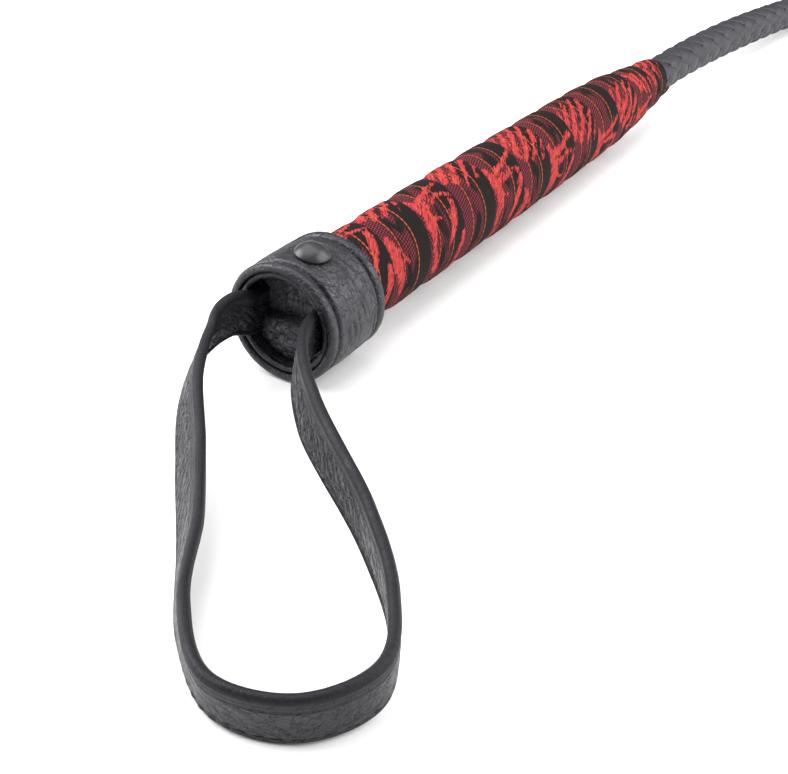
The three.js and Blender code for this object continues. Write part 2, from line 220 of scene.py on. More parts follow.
def catmull_rom(points, samples=40):
    """A centripetal Catmull-Rom curve through the points, and its place between them."""
    points = np.asarray(points, float)
    ends = chain([2 * points[0] - points[1]], points, [2 * points[-1] - points[-2]])
    line, places = [], []
    for i in range(len(points) - 1):
        p0, p1, p2, p3 = ends[i : i + 4]
        d0, d1, d2 = (math.dist(a, b) ** 0.5 for a, b in ((p0, p1), (p1, p2), (p2, p3)))
        t1 = ((p1 - p0) / d0 - (p2 - p0) / (d0 + d1) + (p2 - p1) / d1) * d1
        t2 = ((p2 - p1) / d1 - (p3 - p1) / (d1 + d2) + (p3 - p2) / d2) * d1
        t = (np.arange(samples) / samples)[:, None]
        cubic = (2 * p1 - 2 * p2 + t1 + t2) * t**3 + (3 * p2 - 3 * p1 - 2 * t1 - t2) * t**2
        line.append(cubic + t1 * t + p1)
        places.append(i + t[:, 0])
    return chain(*line, points[-1:]), chain(*places, [len(points) - 1])


def unit(v):
    return v / np.linalg.norm(v, axis=-1, keepdims=True)


TURN = 2 * math.pi


def full_turn(count):
    """Angles all the way round."""
    return np.linspace(0, TURN, count, endpoint=False)


# ---- Materials


class Paint:
    """A material's nodes. Every call adds a node and gives back its output."""

    def __init__(self, name, roughness=0.5, **constants):
        self.material = bpy.data.materials.new(name)
        self.material.use_nodes = True
        self.tree = self.material.node_tree
        self.shader = self.tree.nodes["Principled BSDF"]
        self.shader.inputs["Roughness"].default_value = roughness
        for socket, value in constants.items():
            self.shader.inputs[socket.replace("_", " ")].default_value = value

    def add(self, kind, inputs=(), output=0, **settings):
        node = self.tree.nodes.new("ShaderNode" + kind)
        for key, value in settings.items():
            setattr(node, key, value)
        for key, value in dict(inputs).items():
            self.feed(node.inputs[key], value)
        return node.outputs[output]

    def feed(self, socket, value):
        if isinstance(value, bpy.types.NodeSocket):
            self.tree.links.new(value, socket)
        else:
            socket.default_value = value

    def place(self, size=(1, 1, 1), uv=False, turn=0.0):
        """Coordinates in millimetres, turned by some degrees and divided by size."""
        source = self.add("TexCoord", output="UV" if uv else "Object")
        if turn:
            source = self.add("Mapping", {"Vector": source, "Rotation": (0, 0, math.radians(turn))})
        scale = 1 if uv else 1 / MM
        return self.add("Mapping", {"Vector": source, "Scale": [scale / s for s in size]})

    def noise(self, place, scale, detail, roughness=0.5):
        inputs = {"Vector": place, "Scale": scale, "Detail": detail, "Roughness": roughness}
        return self.add("TexNoise", inputs)

    def streaks(self, along, across, detail, roughness=0.5, turn=0.0):
        """Noise on the UV map, with its size along and across."""
        place = self.place((along, across, 1), uv=True, turn=turn)
        return self.noise(place, 1.0, detail, roughness)

    def cell_edges(self, place, size):
        inputs = {"Vector": place, "Scale": 1 / size}
        return self.add("TexVoronoi", inputs, feature="DISTANCE_TO_EDGE")

    def attribute(self, name):
        return self.add("Attribute", output="Fac", attribute_name=name)

    def math(self, operation, *values):
        return self.add("Math", enumerate(values), operation=operation)

    def plus(self, first, second):
        return self.math("ADD", first, second)

    def times(self, first, second):
        return self.math("MULTIPLY", first, second)

    def wave(self, value, length):
        """From -1 to 1 and back over each length."""
        return self.math("SINE", self.times(value, TURN / length))

    def ramp(self, value, low, high, to_low=0.0, to_high=1.0):
        """From to_low to to_high as the value goes from low to high."""
        source = {"Value": value, "From Min": low, "From Max": high}
        target = {"To Min": to_low, "To Max": to_high}
        return self.add("MapRange", source | target, interpolation_type="SMOOTHSTEP")

    def mix(self, share, low, high):
        """Colours mixed by a share."""
        return self.add("Mix", {0: share, 6: low, 7: high}, output=2, data_type="RGBA")

    def drive(self, socket, value):
        """Feeds one of the shader's own sockets."""
        self.feed(self.shader.inputs[socket], value)

    def relief(self, height, depth):
        """Bump from a height of 0 to 1 that stands for depth millimetres."""
        inputs = {"Height": height, "Distance": depth * MM, "Strength": 1.0}
        self.drive("Normal", self.add("Bump", inputs))


def grey(value, tint=(1, 1, 1)):
    return (*(value * t for t in tint), 1)


def leather(
    name, dark=0.003, light=0.011, grain=1.1, cracks=3.2, uv=False, shine=0.3, depth=0.2, gloss=0.5
):
    """Black leather with a crackle of lines of size cracks and pebbles of size grain. Its colour
    follows the relief's height, which paints shade in the crackle and the pebbles' borders. shine
    is its least roughness, depth its relief, and gloss its reflections' strength. The crease
    attribute paints shade where it is 1 and makes it dull there, and the smooth attribute flattens
    it."""
    paint = Paint(name, Specular_Tint=(0.92, 0.885, 1, 1), Specular_IOR_Level=gloss)
    place = paint.place(uv=uv)
    drift = paint.add("TexNoise", {"Vector": place, "Scale": 0.45, "Detail": 2.0}, output=1)
    warped = paint.add("VectorMath", {0: place, 1: drift})
    wide_drift = paint.add("VectorMath", {0: drift, 1: (4, 4, 4)}, operation="MULTIPLY")
    wandering = paint.add("VectorMath", {0: place, 1: wide_drift})
    pebble = paint.ramp(paint.cell_edges(warped, grain), 0.0, 0.24)
    crack = paint.ramp(paint.cell_edges(wandering, cracks), 0.0, 0.075)
    fine = paint.noise(place, 3.5, 3.0)
    patches = paint.noise(place, 0.12, 3.0)
    crease, smooth = paint.attribute("crease"), paint.attribute("smooth")

    height = paint.plus(paint.times(crack, 0.6), paint.times(pebble, 0.2))
    height = paint.plus(height, paint.times(fine, 0.2))
    paint.relief(paint.times(height, paint.ramp(smooth, 0.0, 1.0, 1.0, 0.45)), depth)

    # Darker where the relief is low and where the crease attribute is high: painted shade in the
    # crackle, the pebbles' borders and the creases, with random patches of tone.
    tone_and_painted_shade = paint.times(height, paint.ramp(patches, 0.3, 0.7, 0.7, 1.0))
    tone_and_painted_shade = paint.times(tone_and_painted_shade, paint.ramp(crease, 0.2, 1.0, 1.0, 0.2))
    tint = (1, 0.98, 1.16)
    paint.drive("Base Color", paint.mix(tone_and_painted_shade, grey(dark, tint), grey(light, tint)))

    sheen = paint.ramp(patches, 0.25, 0.75, shine, shine + 0.14)
    dull = paint.plus(paint.times(crease, 0.3), paint.times(smooth, 0.2))
    paint.drive("Roughness", paint.plus(sheen, dull))
    return paint.material


def streaky(name, dark, light, size, depth, roughness):
    """A plain material for hidden pieces: streaks of a size that may differ by axis."""
    paint = Paint(name, roughness)
    place = paint.place(size)
    streaks = paint.noise(place, 1.0, 4.0)
    paint.drive("Base Color", paint.mix(paint.ramp(streaks, 0.3, 0.7), dark, light))
    paint.relief(streaks, depth)
    return paint.material


def satin_metal(name, colour, roughness, metallic):
    """Metal or enamel with faint scratches."""
    paint = Paint(name, roughness, Metallic=metallic)
    scuffs = paint.noise(paint.place((3, 0.25, 0.25)), 1.0, 4.0)
    worn = tuple(min(c * 1.5, 1) for c in colour[:3]) + (1,)
    paint.drive("Base Color", paint.mix(paint.ramp(scuffs, 0.55, 0.8), colour, worn))
    paint.drive("Roughness", paint.ramp(scuffs, 0.3, 0.8, roughness - 0.06, roughness + 0.12))
    paint.relief(scuffs, 0.01)
    return paint.material


def thread_material(name, dark, light):
    """Twisted waxed thread."""
    paint = Paint(name, 0.55)
    place = paint.place()
    fibres = paint.add("TexWave", {"Vector": place, "Scale": 1.6, "Distortion": 3.0, "Detail": 2.0})
    paint.drive("Base Color", paint.mix(fibres, dark, light))
    paint.relief(fibres, 0.05)
    return paint.material


ORANGE_ROWS = (5.75, 12.25)  # across the ribbon, from the edge of the turn beside it
THREAD_SLANT = 42  # of the figures, in degrees


def twill_zones(paint, across):
    """Where the ribbon is woven in twill: by its edge, and in patches along its middle."""
    zone = paint.streaks(9, 3.2, detail=1.0)
    near = paint.ramp(across, 4.6, 5.4, 1.0, 0.0)
    middle = paint.times(paint.ramp(across, 5.6, 6.2), paint.ramp(across, 10.4, 11.4, 1.0, 0.0))
    patches = paint.times(middle, paint.ramp(zone, 0.42, 0.56))
    return paint.math("MINIMUM", paint.plus(near, patches), 1.0)


def woven_ground(paint, along, across, rib):
    """Black ribs, with dots of dark red in slanting rows in the twill zones."""
    black = paint.mix(
        paint.ramp(rib, -1, 1), (0.006, 0.0045, 0.0045, 1), (0.016, 0.011, 0.011, 1)
    )
    slant = paint.plus(paint.times(along, 0.45), across)
    counter = paint.math("SUBTRACT", paint.times(across, 0.5), along)
    dots = paint.times(paint.wave(slant, 1.3), paint.wave(counter, 1.5))
    zones = twill_zones(paint, across)
    twill = paint.times(paint.ramp(dots, -0.12, 0.3), zones)
    ground = paint.mix(paint.times(zones, 0.5), black, (0.026, 0.007, 0.009, 1))
    return paint.mix(twill, ground, (0.16, 0.026, 0.036, 1))


def figure_threads(paint, feather, off_row):
    """Long floats of coral thread with dark nicks, turning orange by the orange rows."""
    streak = paint.streaks(2.6, 0.55, 3.0, 0.6, turn=THREAD_SLANT)
    dark, coral, light = (0.07, 0.008, 0.012, 1), (0.36, 0.034, 0.036, 1), (0.50, 0.080, 0.058, 1)
    floats = paint.mix(paint.ramp(streak, 0.36, 0.46), dark, coral)
    floats = paint.mix(paint.ramp(streak, 0.54, 0.68), floats, light)
    gold = paint.times(paint.ramp(off_row, 0.6, 1.3, 0.5, 0.0), paint.ramp(feather, 0.4, 0.6))
    return paint.mix(gold, floats, (0.46, 0.085, 0.030, 1))


def brocade(name):
    """Woven ribbon. Its UV is millimetres along and across, and the motif attribute is the
    distance in millimetres to the edge of the woven figures, below 0 inside them."""
    paint = Paint(name, 0.75, Specular_IOR_Level=0.07)
    place = paint.place(uv=True)
    along, across = (paint.add("SeparateXYZ", {0: place}, output=k) for k in (0, 1))
    rib, pick = paint.wave(across, 0.42), paint.wave(along, 0.6)
    ground = woven_ground(paint, along, across, rib)

    wander = paint.times(paint.streaks(12, 4, detail=1.0), 0.5)
    beside = paint.plus(across, wander)
    offs = [paint.math("ABSOLUTE", paint.math("SUBTRACT", beside, row)) for row in ORANGE_ROWS]
    row = paint.math("MAXIMUM", *(paint.ramp(off, 0.1, 0.3, 1.0, 0.0) for off in offs))
    knots = paint.ramp(paint.wave(along, 1.7), -1, 0.2, 0.35, 0.9)
    ground = paint.mix(paint.times(row, knots), ground, (0.44, 0.085, 0.028, 1))

    # The noise averages 0.455, and frays the figures' edges.
    feather = paint.streaks(2.6, 0.9, 3.0, 0.65, turn=THREAD_SLANT)
    ragged = paint.times(paint.math("SUBTRACT", feather, 0.455), 4.8)
    edge = paint.plus(paint.attribute("motif"), ragged)
    figure = paint.ramp(edge, -0.12, 0.08, 1.0, 0.0)
    floats = figure_threads(paint, feather, paint.math("MINIMUM", *offs))
    paint.drive("Base Color", paint.mix(figure, ground, floats))

    weave = paint.plus(paint.times(rib, 0.25), paint.times(pick, 0.12))
    proud = paint.times(paint.math("MAXIMUM", figure, row), 0.8)
    paint.relief(paint.plus(weave, proud), 0.12)
    return paint.material


CUFF_LEATHER = leather("cuff_leather", grain=1.2)
BUTT_LEATHER = leather(
    "butt_leather", dark=0.006, light=0.03, grain=1.2, cracks=3.6, depth=0.3, gloss=0.7
)
STRAP_LEATHER = leather(
    "strap_leather", grain=1.5, cracks=2.4, uv=True, shine=0.25, depth=0.24, gloss=0.42
)
# A darker, less glossy copy of the strap leather for its fold and edges: the darker colour is
# painted shade.
SHADED_FOLD_LEATHER = leather(
    "strap_fold_painted_shade_leather", 0.002, 0.009, grain=0.9, cracks=2.4, uv=True, depth=0.14, gloss=0.25
)
EDGE_LEATHER = leather("edge_leather", grain=0.8)
PLAIT_LEATHER = leather(
    "plait_leather", dark=0.008, light=0.022, grain=0.8, uv=True, shine=0.5, depth=0.05
)
KEEPER_LEATHER = leather("keeper_leather", grain=0.9, uv=True, depth=0.08)
THREAD = thread_material("thread", grey(0.006), grey(0.025))
RIVET_METAL = satin_metal("rivet_enamel", (0.03, 0.03, 0.033, 1), 0.36, 0.35)
STEEL = satin_metal("plain_steel", (0.5, 0.5, 0.52, 1), 0.35, 1.0)
WOOD = streaky(
    "turned_wood", (0.30, 0.17, 0.08, 1), (0.5, 0.33, 0.18, 1), (14, 1, 1), 0.05, 0.6
)
FOAM = streaky("foam_rubber", grey(0.03), grey(0.07), (0.8, 0.8, 0.8), 0.15, 0.9)
FIBREGLASS = streaky(
    "fibreglass", (0.55, 0.53, 0.42, 1), (0.7, 0.68, 0.58, 1), (20, 0.4, 0.4), 0.02, 0.45
)

# ---- Wrist strap

# The strap's centreline from its left end round to its right end: station, side, height, and how
# far its upper edge leans outwards, in degrees.
STRAP_ROUTE = np.array([
    (6.6, 9.4, 16, 0), (3.4, 9.35, 16.05, -1), (0, 9.4, 16.8, -4), (-5, 10.8, 18.0, 0),
    (-12.75, 11.5, 15.5, -22), (-29.7, 3.4, 13.1, -26), (-48.5, -11.6, 9.3, -32),
    (-67.6, -27.1, 7.2, -25), (-87.6, -42, 6.5, -6), (-99, -58.2, 6.1, 8), (-95, -74, 6.2, 6),
    (-81.7, -81.2, 6.7, 5), (-67.1, -74.6, 8.2, 0), (-50.5, -58, 11, 8),
    (-29.5, -29.8, 15.6, 18), (-12, -14.6, 16.9, 10), (0, -9.7, 16.2, 2), (6.6, -9.4, 16, 0),
])  # fmt: skip
TAIL_LENGTH = 11.0  # of each end, flat on the grip form
STRAP_CUT = 33.0  # distance along each leg to the cut between two pieces
EDGE_ROUND = 1.1
STRAP_GIRTH = 26.0
STRAP_PIECES = ("wrist_strap_left", "wrist_strap_loop", "wrist_strap_right")
STITCH_LINE = -4.6  # across the strap, near its lower edge
STITCH_LENGTH = 2.1
STITCH_RADIUS = 0.18
strap_line, strap_place = catmull_rom(STRAP_ROUTE[:, :3])
strap_run = distance_along(strap_line)
STRAP_LENGTH = strap_run[-1]


def strap_frames(distance):
    """Centre, across and through directions of the strap at distances along it."""
    distance = np.asarray(distance, float)
    inside = np.clip(distance, 0, STRAP_LENGTH)
    ahead, behind = np.minimum(inside + 0.6, STRAP_LENGTH), np.maximum(inside - 0.6, 0)
    heading = unit(at_distance(ahead, strap_line) - at_distance(behind, strap_line))
    centre = at_distance(inside, strap_line) + heading * (distance - inside)[:, None]
    place = np.interp(inside, strap_run, strap_place)
    lean = np.radians(np.interp(place, np.arange(len(STRAP_ROUTE)), STRAP_ROUTE[:, 3]))
    window = 17  # points that the lean is evened out over
    lean = np.convolve(np.pad(lean, window // 2, mode="edge"), np.ones(window) / window, "valid")
    lean = lean[:, None]
    upright = unit(np.array([0, 0, 1.0]) - heading * heading[:, 2:])
    outward = np.cross(heading, upright)
    across = np.cos(lean) * upright + np.sin(lean) * outward
    through = np.cos(lean) * outward - np.sin(lean) * upright
    return centre, across, through


def outer_face(across):
    """Height of the strap's outer face: two pressed lines beside the fold, and a sewn line."""
    crown = 0.1 * (1 - (across / (STRAP_WIDTH / 2)) ** 2) + 0.12 * bump_at(across, 5, 0.8)
    pressed = 0.24 * bump_at(across, 2.8, 0.25) + 0.24 * bump_at(across, 3.9, 0.25)
    sewn = 0.22 * bump_at(across, STITCH_LINE, 0.35)
    return EDGE_ROUND + crown - pressed - sewn


def inner_face(across):
    """Height of the inner face: its turned-in lower strip lies under the rest of it."""
    step = 0.4 * smooth_rise((across + 2.9) / 0.35)
    line = 0.14 * bump_at(across, 3.1, 0.3) + 0.2 * bump_at(across, STITCH_LINE, 0.35)
    return EDGE_ROUND - 0.3 + step - line + 0.1 * bump_at(across, 4.7, 0.9)


def strap_outline():
    """Across, height and face (1 outer, -1 inner, 0 edge) of the points round the strap."""
    count, edge_count = 34, 7
    half = STRAP_WIDTH / 2 - EDGE_ROUND
    face = np.linspace(half, -half, count)
    turn = np.linspace(0, np.pi, edge_count + 2)[1:-1]
    lower = EDGE_ROUND * np.cos(turn), -half - EDGE_ROUND * np.sin(turn)
    across = chain(face, lower[1], face[::-1], -lower[1])
    height = chain(outer_face(face), lower[0], -inner_face(face[::-1]), -lower[0])
    side = np.repeat([1.0, 0.0, -1.0, 0.0], [count, edge_count, count, edge_count])
    return across, height, side


def strap_relief(d, a, side):
    """Relief, slow waves and pebbling at distances along and across the strap. Its creases slant,
    and are deepest where it bends out of the cuff."""
    slant = math.radians(27)
    run = d * math.cos(slant) - side * a * math.sin(slant)
    over = side * d * math.sin(slant) + a * math.cos(slant)
    flat = stacked(d, a, side * 9 + 0 * d)
    near_cuff = np.exp(-((np.minimum(d, STRAP_LENGTH - d).clip(0) / 75) ** 2))
    folds = creases(stacked(run, over, flat[..., 2]), (5.5, 1.9, 3), 0.15, 3)
    grain = creases(flat, (2.6, 2.1, 3), 0.13, 5)
    pebbled = np.where(side > 0, smooth_rise((2.6 - a) / 0.5), smooth_rise((3.0 - a) / 0.8))
    pebbled = np.where(side == 0, 0.03, pebbled) * np.where(a < -4.9, 0.4, 1)
    relief = (0.3 * (0.3 + 0.7 * near_cuff) * folds + (0.05 + 0.08 * near_cuff) * grain) * pebbled
    return relief, 0.10 * lumps(flat, (14, 7, 9), 7), pebbled


def make_strap():
    """The strap's three pieces. They take their normals from the whole, so that no cut shows."""
    across, height, side = strap_outline()
    distance = np.arange(-TAIL_LENGTH, STRAP_LENGTH + TAIL_LENGTH, 0.45)
    d, a = np.meshgrid(distance, across, indexing="ij")
    relief, waves, pebbled = strap_relief(d, a, side)
    swell = relief + waves
    edge_turn = np.sign(a) * np.sqrt(np.maximum(1 - (height / EDGE_ROUND) ** 2, 0))
    edge_turn = np.where(side == 0, edge_turn, 0)
    face_turn = np.where(side == 0, height / EDGE_ROUND, side)
    centre, up, out = strap_frames(distance)
    rise = (height + swell * face_turn)[..., None] * out[:, None]
    grid = centre[:, None] + (a + swell * edge_turn)[..., None] * up[:, None] + rise

    ring = np.linspace(0, STRAP_GIRTH, len(across) + 1)
    whole = grid_object("strap_whole", grid, STRAP_LEATHER, distance, ring)
    normals = np.array([n.vector for n in whole.data.vertex_normals]).reshape(grid.shape)
    bpy.data.objects.remove(whole)
    cuts = [np.argmin(abs(distance - cut)) for cut in (STRAP_CUT, STRAP_LENGTH - STRAP_CUT)]
    rows = [0, *cuts, len(distance) - 1]
    # The fold and the edges get the darker copy of the leather, which paints shade on them.
    is_fold = (side == 0) | (across > 4.3)
    pieces = {}
    for name, first, last in zip(STRAP_PIECES, rows, rows[1:]):
        span = slice(first, last + 1)
        piece = grid_object(name, grid[span], STRAP_LEATHER, distance[span], ring)
        piece.data.normals_split_custom_set_from_vertices(normals[span].reshape(-1, 3).tolist())
        # The crease attribute darkens the deepest creases with painted shade, and dulls them.
        set_attribute(piece, "crease", -relief[span] / 0.36)
        set_attribute(piece, "smooth", 1 - pebbled[span])
        piece.data.materials.append(SHADED_FOLD_LEATHER)
        folded = np.zeros(len(piece.data.polygons), np.int32)
        folded[: (last - first) * len(across)] = np.tile(is_fold, last - first)
        piece.data.polygons.foreach_set("material_index", folded)
        pieces[name] = piece
    return pieces


def stitch_row(points, outs):
    """Separate stitches lying along a line of points, each rounded and sunk at its ends."""
    ends = np.linspace(-1, 1, 7)
    turn = full_turn(6)
    bits, faces, first = [], [], 0
    for k in range(1, len(points) - 1):
        along = unit(points[k + 1] - points[k - 1])
        out = unit(outs[k] - along * (outs[k] @ along))
        side = np.cross(along, out)
        for e in ends:
            r = STITCH_RADIUS * math.sqrt(max(1 - e**4, 0.02))
            sunk = out * (0.2 * STITCH_RADIUS - 0.9 * STITCH_RADIUS * e**2)
            middle = points[k] + along * e * STITCH_LENGTH / 2 + sunk
            bits.append(middle + r * (np.outer(np.cos(turn), out) + np.outer(np.sin(turn), side)))
        faces += lattice(len(ends), len(turn), first=first)[0]
        for cap in (first, first + (len(ends) - 1) * len(turn)):
            faces.append(list(range(cap, cap + len(turn))))
        first += len(ends) * len(turn)
    obj = add_object("stitches", chain(*bits), faces, THREAD)
    face_outwards(obj)
    return obj


def strap_stitches(start, end, side):
    """A row of stitches on the strap's outer face, side 1, or its inner face, side -1."""
    centre, up, out = strap_frames(np.arange(start, end, 3.1))
    face = outer_face if side > 0 else inner_face
    points = centre + STITCH_LINE * up + side * (face(STITCH_LINE) - 0.06) * out
    return stitch_row(points, side * out)


def finish_strap():
    """Stitches the strap's pieces, bakes their placing into their meshes, and hides the CAD pieces
    that they stand in for.
    """
    pieces = make_strap()
    far_cut = STRAP_LENGTH - STRAP_CUT
    sewn = ((-1, STRAP_CUT + 1), (STRAP_CUT - 2, far_cut + 2), (far_cut - 1, STRAP_LENGTH + 1))
    stitched = {}
    for name, (start, end) in zip(STRAP_PIECES, sewn):
        rows = [strap_stitches(start, end, side) for side in (1, -1)]
        stitched[name] = join(rows, name + "_stitches")
    for side in ("left", "right"):
        name = "wrist_strap_" + side
        nodes = [f"strap_{kind}_{side}" for kind in ("tail", "bend", "leg")]
        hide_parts(*nodes)
        for obj in (pieces[name], stitched[name]):
            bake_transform(obj)
    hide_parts("strap_twist_left", "strap_twist_right", "strap_bight")
    for obj in (pieces["wrist_strap_loop"], stitched["wrist_strap_loop"]):
        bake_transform(obj)


# ---- Cuff, lining, butt and rivet


def axis_height(station):
    """Height of the crop's axis: level in the cuff, then falling gently."""
    return AXIS_HEIGHT - GRIP_FALL * np.maximum(station - CUFF_LENGTH, 0)


def turned_grid(profile, angles):
    """Points of a profile of (station, radius) turned about the crop's axis. Angles run from
    straight up towards the crop's right."""
    profile = np.asarray(profile, float)
    station, angle = np.meshgrid(profile[:, 0], angles, indexing="ij")
    radius = np.repeat(profile[:, 1:], len(angles), axis=1)
    return stacked(station, -radius * np.sin(angle), AXIS_HEIGHT + radius * np.cos(angle))


def arc(centre_x, centre_r, radius, start, end, count):
    """Points of a profile on an arc, with angles in degrees from the crop's direction."""
    turn = np.radians(np.linspace(start, end, count))
    return [(centre_x + radius * math.cos(t), centre_r + radius * math.sin(t)) for t in turn]


def resampled(profile, spacing):
    profile = np.asarray(profile, float)
    length = distance_along(profile)[-1]
    return at_distance(np.linspace(0, length, int(length / spacing)), profile)


def leather_relief(points, fold, grain, share):
    """Swell and crease depth of leather that wraps the axis: long folds round it, and a crackle.
    The crease depth paints shade in the leather material.
    """
    folds = creases(points * (1, 0.4, 0.4), 4.4, 0.1, 2)
    crackle = creases(points, 3.4, 0.12, 4)
    patchy = smooth_rise(0.5 + 0.9 * lumps(points, 8, 8))
    relief = share * (fold * patchy * folds + grain * crackle)
    return relief + 0.09 * lumps(points, 6, 6), -relief / (fold + grain)


def turned_leather(name, profile, angles, material, fold, grain, share=np.ones_like):
    """A hoop of leather with relief. share(station) weakens the relief along it."""
    bare = turned_grid(profile, angles)
    spokes = stacked(0 * angles, -np.sin(angles), np.cos(angles))
    around = bare - (0, 0, AXIS_HEIGHT)
    relief, crease = leather_relief(around, fold, grain, share(bare[..., 0]))
    obj = grid_object(name, bare + relief[..., None] * spokes, material, hoop=True)
    # Painted shade in the creases, from the crease attribute.
    set_attribute(obj, "crease", crease)
    return obj


# Station and radius of the groove between the cuff's rolled rim and its band
CUFF_GROOVE = [
    (2.3, 15.9), (2.9, 15.6), (3.2, 15.1), (3.4, 14.9), (3.6, 15.15), (3.9, 15.7), (4.3, 15.95),
]  # fmt: skip


def off_the_rims(station):
    """1 on the cuff's band, and less on its smoother rims."""
    return 0.25 + 0.75 * smooth_rise((station - 3.6) / 1.5) * smooth_rise((20.4 - station) / 1.5)


def make_cuff():
    """A band with a rolled rim and a groove at each end."""
    roll = 1.3
    near = arc(roll, CUFF_RADIUS - roll, roll, 225, 85, 9) + CUFF_GROOVE
    band = [
        (x, CUFF_RADIUS + 0.12 * math.sin(math.pi * (x - 4.6) / 14.8))
        for x in np.linspace(4.9, 19.1, 12)
    ]
    outer = near + band + [(CUFF_LENGTH - x, r) for x, r in reversed(near)]
    bore = CUFF_RADIUS - 2.1
    inner = [(CUFF_LENGTH - 1.2, bore), (12, bore), (1.2, bore)]
    profile = chain(resampled(outer, 0.33), inner)
    cuff = turned_leather(
        "cuff_sleeve", profile, full_turn(300), CUFF_LEATHER, 0.36, 0.1, off_the_rims
    )
    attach(cuff, "root")
    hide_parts("cuff_band")


def make_lining():
    """A thin ring in the cuff, with a rolled rim in its mouth."""
    roll = 0.85
    profile = arc(1.5, LINING_RADIUS - roll + 0.15, roll, 250, 80, 10)
    profile += [(2.6, LINING_RADIUS - 0.15), (8, LINING_RADIUS), (18.2, LINING_RADIUS)]
    profile += [(18.2, LINING_RADIUS - 1.1), (8, LINING_RADIUS - 1.2), (2.4, LINING_RADIUS - 1.35)]
    ring = resampled(profile + profile[:1], 0.4)[:-1]
    lining = turned_leather("cuff_inner_ring", ring, full_turn(220), EDGE_LEATHER, 0.15, 0.1)
    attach(lining, "root")
    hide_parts("cuff_lining")


def butt_station(side, height):
    """Station of the butt's leather face: a padded fold below, and a hollow above it."""
    brow = -1.3 - 0.022 * (side - 3) ** 2
    fold = smooth_rise((brow - height + 0.9) / 1.3)
    cushion = 3.6 + 0.035 * (height + 6.5) ** 2 + 0.012 * side**2
    return 7.4 * (1 - fold) + cushion * fold - 0.9 * bump_at(height, 9, 3) * (1 - fold)


def make_butt():
    """A pad with a wrinkled front and a flat back."""
    radii = chain([0.01], np.linspace(0.4, BUTT_RADIUS, 46))
    r, angle = np.meshgrid(radii, full_turn(180), indexing="ij")
    side, height = -r * np.sin(angle), r * np.cos(angle)
    flat = stacked(side, height, 0 * side)
    wrinkles = creases(flat, (4.6, 3.4, 3), 0.085, 8) * (1 - 0.6 * smooth_rise((height + 1) / 3))
    grain = creases(flat, 2.4, 0.1, 9)
    relief = -0.45 * wrinkles - 0.12 * grain + 0.25 * lumps(flat, 3, 10)
    front = stacked(butt_station(side, height) + relief, side, AXIS_HEIGHT + height)
    back = front[::-6].copy()
    back[..., 0] = 7.9
    butt = grid_object("butt_pad", chain(front, back), BUTT_LEATHER)
    # Painted shade: the crease attribute darkens the wrinkles and the grain's lines.
    crease = -0.7 * wrinkles - 0.3 * grain
    set_attribute(butt, "crease", chain(crease, crease[::-6]))
    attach(butt, "root")
    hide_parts("butt_cover")


# Distance from the rivet's own axis, and height over the crop's axis
RIVET_PROFILE = [
    (0, 18.75), (1.2, 18.66), (2.3, 18.36), (3.3, 17.82), (4.0, 17.2),
    (4.4, 16.72), (4.55, 16.4), (4.45, 16.15), (4.0, 16.05), (0, 16.05),
]  # fmt: skip


def make_rivet():
    """A low domed cap."""
    line, _ = catmull_rom([(a, b, 0) for a, b in RIVET_PROFILE], 5)
    turn = full_turn(64)
    r, t = np.meshgrid(np.maximum(line[:, 0], 0.01), turn, indexing="ij")
    height = np.repeat(line[:, 1:2], len(turn), axis=1)
    upright = stacked(RIVET_STATION + r * np.cos(t), r * np.sin(t), height)
    c, s = math.cos(RIVET_LEAN), math.sin(RIVET_LEAN)
    leaned = upright @ np.array([[1, 0, 0], [0, c, s], [0, -s, c]])
    rivet = grid_object("rivet_dome", leaned + (0, 0, AXIS_HEIGHT), RIVET_METAL)
    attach(rivet, "root")
    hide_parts("rivet_cap")


# ---- Ribbon

# Station and radius of the wrapped grip
GRIP_OUTLINE = np.array([
    (18.9, 12.4), (45, 12.7), (75, 12.8), (110, 12.8), (150, 12.5), (175, 12.2), (190, 11.9),
    (200, 11.5), (210, 10.6), (220, 9.6), (230, 8.8), (240, 7.8), (245, 7.4),
])  # fmt: skip
RIBBON_WIDTH = 30.0
RIBBON_THICKNESS = 0.38
LAP_PITCH = 18.6  # along the grip, from turn to turn
LAP_STATION = 54.0  # where an outer edge of the ribbon is at LAP_ANGLE
LAP_ANGLE = math.radians(45)
OVERLAP = RIBBON_WIDTH - LAP_PITCH
WINDING_RADIUS = 13.0  # of the ribbon where the grip is thick
NO_FIGURE = 4.0  # distance to a woven figure where there is none
